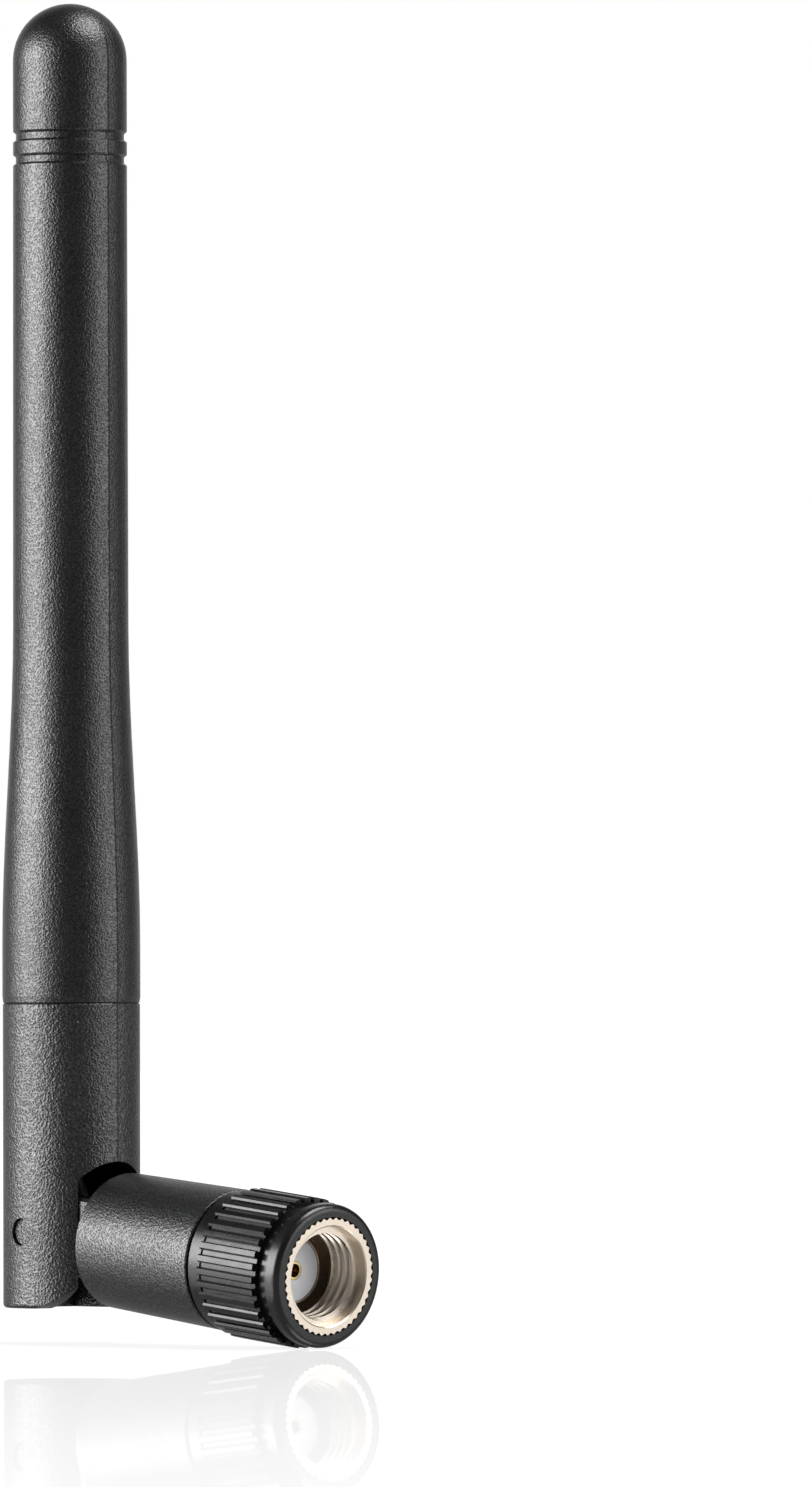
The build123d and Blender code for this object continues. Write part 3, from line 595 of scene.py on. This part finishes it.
def studio_floor_material(colour, toward):
    """White acrylic sheet lit from below: the glow grows away from the antenna and, as seen in the antenna's
    own surfaces, ends in front of it. The polished face adds a faint mirror image, and the antenna's shadow
    falls on it."""
    material, tree = new_material("polished_acrylic_sheet")
    path = add_node(tree, "ShaderNodeLightPath")
    from_pin = add_node(
        tree, "ShaderNodeVectorMath", {0: object_point(tree), 1: PIN}, operation="SUBTRACT",
    ).outputs["Vector"]
    distance = add_node(tree, "ShaderNodeVectorMath", {0: from_pin}, operation="LENGTH")
    in_front = add_node(tree, "ShaderNodeVectorMath", {0: from_pin, 1: toward}, operation="DOT_PRODUCT")
    seen_glow = add_node(
        tree, "ShaderNodeMapRange",
        {"Value": distance.outputs["Value"], "From Min": 0.06, "From Max": 0.4,
         "To Min": 0.8, "To Max": 1.08},
    )
    mirrored_glow = add_node(
        tree, "ShaderNodeMapRange",
        {"Value": in_front.outputs["Value"], "From Min": 0.03, "From Max": 0.09,
         "To Min": 0.3, "To Max": 0.02},
    )
    camera_glow = add_node(
        tree, "ShaderNodeMath", {0: path.outputs["Is Camera Ray"], 1: seen_glow.outputs["Result"]},
        operation="MULTIPLY",
    )
    indirect = add_node(
        tree, "ShaderNodeMath",
        {0: path.outputs["Is Glossy Ray"], 1: path.outputs["Is Transmission Ray"]}, operation="MAXIMUM",
    )
    indirect_glow = add_node(
        tree, "ShaderNodeMath", {0: indirect.outputs["Value"], 1: mirrored_glow.outputs["Result"]},
        operation="MULTIPLY",
    )
    strength = add_node(
        tree, "ShaderNodeMath", {0: camera_glow.outputs["Value"], 1: indirect_glow.outputs["Value"]},
        operation="MAXIMUM",
    )
    glow = add_node(tree, "ShaderNodeEmission", {"Color": colour, "Strength": strength.outputs["Value"]})
    body = add_node(tree, "ShaderNodeBsdfDiffuse", {"Color": SHEET_GREY})
    sheet = add_node(tree, "ShaderNodeAddShader", {0: glow.outputs["Emission"], 1: body.outputs["BSDF"]})
    mirror = add_node(tree, "ShaderNodeBsdfAnisotropic", {"Color": colour, "Roughness": 0.012})
    surface = add_node(
        tree, "ShaderNodeMixShader", {0: MIRROR_SHARE, 1: sheet.outputs["Shader"], 2: mirror.outputs["BSDF"]},
    )
    add_node(tree, "ShaderNodeOutputMaterial", {"Surface": surface.outputs["Shader"]})
    return material


def soft_box(name, target, direction, settings, power, width, height):
    """A large rectangular lamp that faces the target."""
    data = bpy.data.lights.new(name, "AREA")
    data.shape = "RECTANGLE"
    data.size = width
    data.size_y = height
    data.energy = power
    lamp = bpy.data.objects.new(name, data)
    lamp.location = target + direction.normalized() * settings.lamp_distance
    lamp.rotation_euler = direction.to_track_quat("Z", "Y").to_euler()
    bpy.context.scene.collection.objects.link(lamp)


class ANTENNA_OT_studio(Operator):
    """Set up the floor, background, soft boxes and camera"""

    bl_idname = "antenna.studio"
    bl_label = "Studio"

    def execute(self, context):
        scene = context.scene
        settings = scene.antenna_studio
        toward, right = studio_directions(settings)
        shape = bmesh.new()
        bmesh.ops.create_grid(shape, x_segments=1, y_segments=1, size=FLOOR_HALF_WIDTH)
        bmesh.ops.translate(shape, verts=shape.verts, vec=Vector((0, 0, LOWEST - FLOOR_GAP)))
        mesh = bpy.data.meshes.new("studio_floor")
        shape.to_mesh(mesh)
        shape.free()
        floor = bpy.data.objects.new("studio_floor", mesh)
        mesh.materials.append(studio_floor_material(scene.antenna_colours.studio, toward))
        scene.collection.objects.link(floor)

        target = PIN + UP * settings.aim_height
        key_direction = toward * math.cos(KEY_ANGLE) - right * math.sin(KEY_ANGLE)
        fill_direction = toward * math.cos(FILL_ANGLE) + right * math.sin(FILL_ANGLE)
        top_direction = toward * 0.1 + right * 0.55 + UP
        soft_box("key_soft_box", target, key_direction, settings, settings.key_power, *KEY_SIZE)
        soft_box("fill_soft_box", target, fill_direction, settings, settings.fill_power, *FILL_SIZE)
        soft_box("top_soft_box", target, top_direction, settings, settings.top_power, *TOP_SIZE)

        world = bpy.data.worlds.new("studio_surroundings")
        world.use_nodes = True
        tree = world.node_tree
        tree.nodes.clear()
        # seen directly it is white; a mirror sees a dark front and a bright zone behind the antenna; all
        # other light from it is even and low
        path = add_node(tree, "ShaderNodeLightPath")
        direction = add_node(tree, "ShaderNodeTexCoord").outputs["Generated"]
        behind = add_node(
            tree, "ShaderNodeVectorMath", {0: direction, 1: -toward}, operation="DOT_PRODUCT",
        )
        backdrop = add_node(
            tree, "ShaderNodeMapRange",
            {"Value": behind.outputs["Value"], "From Min": 0.72, "From Max": 0.97,
             "To Min": 0.075, "To Max": 1.0},
        )
        mirrored = add_node(
            tree, "ShaderNodeMath",
            {0: path.outputs["Is Glossy Ray"], 1: path.outputs["Is Transmission Ray"]}, operation="MAXIMUM",
        )
        level = add_node(
            tree, "ShaderNodeMix",
            {0: mirrored.outputs["Value"], 2: settings.ambient, 3: backdrop.outputs["Result"]},
            data_type="FLOAT",
        )
        shown = add_node(
            tree, "ShaderNodeMix",
            {0: path.outputs["Is Camera Ray"], 2: level.outputs[0], 3: 1.0},
            data_type="FLOAT",
        )
        background = add_node(
            tree, "ShaderNodeBackground",
            {"Color": scene.antenna_colours.studio, "Strength": shown.outputs[0]},
        )
        add_node(tree, "ShaderNodeOutputWorld", {"Surface": background.outputs["Background"]})
        scene.world = world

        camera_data = bpy.data.cameras.new("studio_camera")
        camera_data.sensor_width = SENSOR_WIDTH
        camera_data.lens = SENSOR_WIDTH * settings.distance / settings.frame_height
        camera_data.clip_start = 0.01
        camera_data.clip_end = 20
        camera = bpy.data.objects.new("studio_camera", camera_data)
        camera.location = PIN + toward * settings.distance + UP * settings.eye_height
        aim = PIN + right * settings.aim_right + UP * settings.aim_height
        back = camera.location - aim
        turn = back.to_track_quat("Z", "Y").to_matrix() @ Matrix.Rotation(-settings.roll, 3, "Z")
        camera.rotation_euler = turn.to_euler()
        scene.collection.objects.link(camera)
        scene.camera = camera
        scene.view_settings.view_transform = "Standard"
        return {"FINISHED"}


class ANTENNA_PT_panel(Panel):
    """Lists the antenna's operators"""

    bl_idname = "ANTENNA_PT_panel"
    bl_label = "Folding whip antenna"
    bl_space_type = "VIEW_3D"
    bl_region_type = "UI"
    bl_category = "Antenna"

    def draw(self, context):
        for operator in OPERATORS:
            self.layout.operator(operator.bl_idname)


OPERATORS = (
    ANTENNA_OT_shells,
    ANTENNA_OT_grip,
    ANTENNA_OT_connector,
    ANTENNA_OT_cable,
    ANTENNA_OT_radiator,
    ANTENNA_OT_studio,
)
SETTINGS = (AntennaColours, AntennaSizes, StudioSettings)


def register():
    for cls in SETTINGS + OPERATORS + (ANTENNA_PT_panel,):
        bpy.utils.register_class(cls)
    bpy.types.Scene.antenna_colours = PointerProperty(type=AntennaColours)
    bpy.types.Scene.antenna_sizes = PointerProperty(type=AntennaSizes)
    bpy.types.Scene.antenna_studio = PointerProperty(type=StudioSettings)


def unregister():
    del bpy.types.Scene.antenna_studio
    del bpy.types.Scene.antenna_sizes
    del bpy.types.Scene.antenna_colours
    for cls in reversed(SETTINGS + OPERATORS + (ANTENNA_PT_panel,)):
        bpy.utils.unregister_class(cls)


def main():
    register()
    bpy.ops.antenna.shells()
    bpy.ops.antenna.grip()
    bpy.ops.antenna.connector()
    bpy.ops.antenna.cable()
    bpy.ops.antenna.radiator()
    bpy.ops.antenna.studio()


if __name__ == "__main__":
    main()
